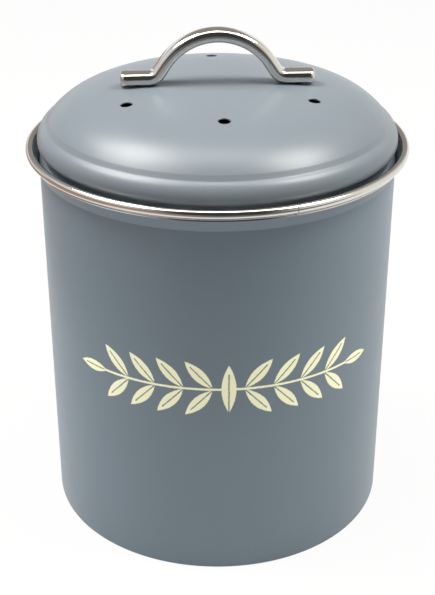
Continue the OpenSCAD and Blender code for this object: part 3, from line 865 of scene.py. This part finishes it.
class CADDY_OT_bow_handle(bpy.types.Operator):
    """Add the polished bow handle: a rounded bar carried along bow, legs and feet"""

    bl_idname = "caddy.bow_handle"
    bl_label = "Bow handle"

    def execute(self, context):
        """The bar's section, a rectangle with quarter-circle corners, is carried along its middle line."""
        lid = context.scene.caddy_lid
        bow, bend, slope = lid.bow_radius, lid.bend_radius, math.degrees(lid.leg_slope)
        thick = lid.bar_thickness
        rise = BOW_HIGH[2] - BOW_LOW[2]
        drop = (bow + bend) * (1 - math.cos(lid.leg_slope))
        leg = (rise - thick - drop) / math.sin(lid.leg_slope)
        foot_x = (bow + bend) * math.sin(lid.leg_slope) + leg * math.cos(lid.leg_slope)
        bow_z, foot_z = BOW_HIGH[2] - thick / 2 - bow, BOW_LOW[2] + thick / 2
        foot_len = BOW_HIGH[0] - foot_x
        near = foot_len * (1 - np.array([1, 0.75, 0.5, 0.3]))
        close = foot_len - lid.foot_corner * (1 - np.sin(np.radians(np.linspace(0, 90, 12))))
        foot_run = foot_x + np.concatenate([near, close])
        flat = len(foot_run)
        right = np.vstack(
            [
                arc([0, bow_z], bow, 90, 90 - slope, 40),
                arc([foot_x, foot_z + bend], bend, 270 - slope, 270, 20),
                np.stack([foot_run, np.full(flat, foot_z)], axis=-1)[1:],
            ]
        )
        left = right[::-1] * [-1, 1]
        path = np.vstack([left[:-1], right])
        step = np.gradient(path, axis=0)
        tangent = step / np.linalg.norm(step, axis=1, keepdims=True)
        tangent[:flat] = tangent[-flat:] = [1, 0]
        normal = np.stack([-tangent[:, 1], tangent[:, 0]], axis=-1)
        to_end = np.clip(foot_len - (np.abs(path[:, 0]) - foot_x), 0, None)

        def drawn_in(half, radius):
            """Half a size, less what a rounded corner of that radius takes off near the end."""
            past = np.clip(radius - to_end, 0, radius)
            return half - radius + np.sqrt(radius**2 - past**2)

        half_width = drawn_in(lid.bar_width / 2, lid.foot_corner)
        half_thick = drawn_in(thick / 2, lid.foot_edge)
        quarter = np.radians(np.linspace(0, 90, 9))
        sections = []
        for side, lift, start in ((1, 1, 0), (-1, 1, 90), (-1, -1, 180), (1, -1, 270)):
            a = quarter + math.radians(start)
            sections.append([np.full_like(a, side), np.full_like(a, lift), np.cos(a), np.sin(a)])
        side, lift, cos, sin = (np.append(row, row[0]) for row in np.concatenate(sections, axis=1))
        edge = np.minimum(lid.bar_edge, np.minimum(half_width, half_thick))[:, None]
        y = side * (half_width[:, None] - edge) + cos * edge
        n = lift * (half_thick[:, None] - edge) + sin * edge
        body = np.stack([path[:, :1] + n * normal[:, :1], y, path[:, 1:] + n * normal[:, 1:]], axis=-1)
        first, last = (np.broadcast_to(end.mean(axis=0), end.shape) for end in (body[0], body[-1]))
        grids = [body[::-1], np.stack([first, body[0]]), np.stack([body[-1], last])]
        steel = finish_named("handle_steel", polished_steel, stretch=(0.4, 4.0, 0.4))
        add_piece("bow_handle", grids, steel, "lid", ["handle"])
        return {"FINISHED"}


class CADDY_OT_charcoal_pad(bpy.types.Operator):
    """Add the soft charcoal filter pad, slightly crowned, with a soft rounded edge"""

    bl_idname = "caddy.charcoal_pad"
    bl_label = "Charcoal pad"

    def execute(self, context):
        """Both faces are flat in the middle and give way by sag (r / radius)^6 towards the edge."""
        edge, sag, edge_turn = 2.6 * MM, 0.55 * MM, 78
        radius = PAD_HIGH[0] - 2 * SEAM_GAP
        low, high = PAD_LOW[2] + SEAM_GAP, PAD_HIGH[2] - SEAM_GAP
        r = (radius - edge) * np.sqrt(np.linspace(0, 1, 26))
        give = sag * (r / radius) ** 6
        section = np.vstack(
            [
                np.stack([r, low + give], axis=-1),
                arc([radius - edge, low + edge], edge, -edge_turn, 0, 10),
                arc([radius - edge, high - edge], edge, 0, edge_turn, 10),
                np.stack([r, high - give], axis=-1)[::-1],
            ]
        )
        grids = [turned(section, steps=180)]
        felt = finish_named("charcoal_felt", charcoal_felt)
        pad = add_piece("charcoal_pad", grids, felt, "tray", ["charcoal_filter"], sharp=60.0)
        return {"FINISHED"}


class CADDY_OT_fittings(bpy.types.Operator):
    """Give the screws, washers, filter housing and tray their finishes"""

    bl_idname = "caddy.fittings"
    bl_label = "Fittings"

    def execute(self, context):
        finishes = {
            "handle_screws": fastener_steel,
            "handle_washers": fastener_steel,
            "filter_housing": moulded_plastic,
            "filter_tray": moulded_plastic,
        }
        for node, make in finishes.items():
            material = finish_named(make.__name__, make)
            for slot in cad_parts[node].material_slots:
                slot.material = material
        return {"FINISHED"}


# The stage ---------------------------------------------------------------


def point_at(thing, place, aim):
    """Puts a lamp or the camera at place and turns it to look at aim, upright."""
    thing.location = place
    thing.rotation_euler = (Vector(aim) - Vector(place)).to_track_quat("-Z", "Y").to_euler()


def area_lamp(name, place, aim, size, power, shade):
    """A rectangular soft lamp at place, facing aim."""
    light = bpy.data.lights.new(name, "AREA")
    light.shape, light.size, light.size_y = "RECTANGLE", *size
    light.energy, light.color = power, shade
    lamp = bpy.data.objects.new(name, light)
    bpy.context.collection.objects.link(lamp)
    point_at(lamp, place, aim)


def pale_floor(looks):
    """Pale matt floor. Where it is seen, most of it is plain white, and the rest keeps the object's shadow.

    Mirrors see that white close by. It fades into the room's dark near end in front, and into its brown things
    on the left, over two stretches in metres from the axis.
    """
    to_front, to_left = (0.16, 0.42), (0.18, 0.40)
    finish = Finish("floor", Roughness=0.9, Specular_IOR_Level=0.0, Emission_Strength=1.0)
    black, white = (0.0,) * 3, (looks.floor_glow,) * 3
    seen, mirrored = finish.seen(), finish.ray("Glossy")
    x, y, _ = finish.split(finish.place)
    glow = finish.mixed(mirrored * (-y).rising(*to_front), white, looks.near_floor)
    glow = finish.mixed(mirrored * (-x).rising(*to_left), glow, looks.low_left)
    floor = finish.mixed(seen, looks.floor, shaded(looks.floor, 1 - looks.floor_glow))
    finish.set(Base_Color=floor, Emission_Color=finish.mixed(seen, black, glow))
    return finish.material


def room_light(looks):
    """Light of the room by direction. The camera and glass see plain white, and mirrors see the room.

    There is a pale wall on each side, the left one above brown things, a grey ceiling, a dark near end, and the
    white sweep where it rises behind the object.
    """
    white = (1.0, 1.0, 1.0)
    world = bpy.data.worlds.new("room")
    world.use_nodes = True
    nodes = Nodes(world.node_tree)
    x, y, z = nodes.split(nodes.node("ShaderNodeTexCoord", {}, {}, "Generated"))
    above_things, to_right, to_camera = z.rising(0.10, 0.40), x.rising(-0.2, 0.2), (-y).rising(-0.1, 0.5)
    sideways, sweep = abs(x).rising(0.35, 0.9), y.rising(0.35, 0.60) * (-z).rising(-0.20, -0.14)
    left = nodes.mixed(above_things, looks.low_left, looks.left_wall)
    walls = nodes.mixed(to_right, left, looks.right_wall)
    ends = nodes.mixed(to_camera, looks.ceiling, looks.near_wall)
    room = nodes.mixed(sweep, nodes.mixed(sideways, ends, walls), white)
    plain = nodes.ray("Camera").greater(nodes.ray("Transmission"))
    back = nodes.node("ShaderNodeBackground", {}, {"Color": nodes.mixed(plain, room, white)})
    nodes.node("ShaderNodeOutputWorld", {}, {"Surface": back})
    return world


def add_camera(scene):
    """The photograph's camera, by its distance from the axis, its height, and its turns down and round."""
    distance, height, down, turn = 0.5936, 0.4205, math.radians(27.56), math.radians(3.5)
    camera = bpy.data.objects.new("camera", bpy.data.cameras.new("camera"))
    bpy.context.collection.objects.link(camera)
    camera.data.sensor_width = 36.0
    camera.data.lens = 74.94
    place = (-distance * math.sin(turn), -distance * math.cos(turn), height)
    point_at(camera, place, (0.0, 0.0, height - distance * math.tan(down)))
    scene.camera = camera


class CADDY_OT_stage(bpy.types.Operator):
    """Add the floor, the room light, the lamps and the camera"""

    bl_idname = "caddy.stage"
    bl_label = "Stage"

    def execute(self, context):
        looks = context.scene.caddy_stage
        half = 6.0
        corners = [(-half, -half, 0), (half, -half, 0), (half, half, 0), (-half, half, 0)]
        mesh = bpy.data.meshes.new("floor")
        mesh.from_pydata(corners, [], [(0, 1, 2, 3)])
        mesh.materials.append(pale_floor(looks))
        floor = bpy.data.objects.new("floor", mesh)
        bpy.context.collection.objects.link(floor)
        context.scene.world = room_light(looks)

        middle = (0.0, 0.0, CAD_BOX[1][2] / 2)
        warm, neutral = (1.0, 0.95, 0.87), (1.0, 0.99, 0.95)
        lamps = (
            ("overhead_left", (-0.36, -0.13, 1.25), (0.46, 1.0), looks.overhead / 2, warm),
            ("overhead_right", (0.36, -0.13, 1.25), (0.46, 1.0), looks.overhead / 2, warm),
            ("left_box", (-0.70, 0.13, 1.28), (0.62, 0.62), looks.left, neutral),
            ("right_box", (0.74, -0.13, 1.27), (0.50, 0.50), looks.right, neutral),
        )
        for name, place, size, power, shade in lamps:
            area_lamp(name, place, middle, size, power, shade)
        add_camera(context.scene)
        context.scene.view_settings.view_transform = "Standard"
        return {"FINISHED"}


class CADDY_PT_panel(bpy.types.Panel):
    """Panel with the caddy's sizes, finishes and pieces"""

    bl_idname = "CADDY_PT_panel"
    bl_label = "Compost caddy"
    bl_space_type = "VIEW_3D"
    bl_region_type = "UI"
    bl_category = "Caddy"

    def draw(self, context):
        for group in GROUPS:
            owner = getattr(context.scene, group)
            box = self.layout.box()
            for name in owner.bl_rna.properties.keys():
                if name not in {"rna_type", "name"}:
                    box.prop(owner, name)
        for operator in PIECES:
            self.layout.operator(operator.bl_idname)


PIECES = (
    CADDY_OT_bin_wall,
    CADDY_OT_base,
    CADDY_OT_rim_trim,
    CADDY_OT_lid_cover,
    CADDY_OT_neck,
    CADDY_OT_bow_handle,
    CADDY_OT_charcoal_pad,
    CADDY_OT_fittings,
    CADDY_OT_stage,
)
GROUPS = {
    "caddy_bin": BinSizes,
    "caddy_lid": LidSizes,
    "caddy_looks": CaddyLooks,
    "caddy_stage": StageLooks,
}


def register():
    """Adds the classes, and the groups of sizes and looks to every scene."""
    for kind in (*GROUPS.values(), *PIECES, CADDY_PT_panel):
        bpy.utils.register_class(kind)
    for name, kind in GROUPS.items():
        setattr(bpy.types.Scene, name, bpy.props.PointerProperty(type=kind))


def unregister():
    """Takes away what register adds."""
    for name in GROUPS:
        delattr(bpy.types.Scene, name)
    for kind in (CADDY_PT_panel, *reversed(PIECES), *GROUPS.values()):
        bpy.utils.unregister_class(kind)


def main():
    register()
    for operator in PIECES:
        group, name = operator.bl_idname.split(".")
        getattr(getattr(bpy.ops, group), name)()


if __name__ == "__main__":
    main()
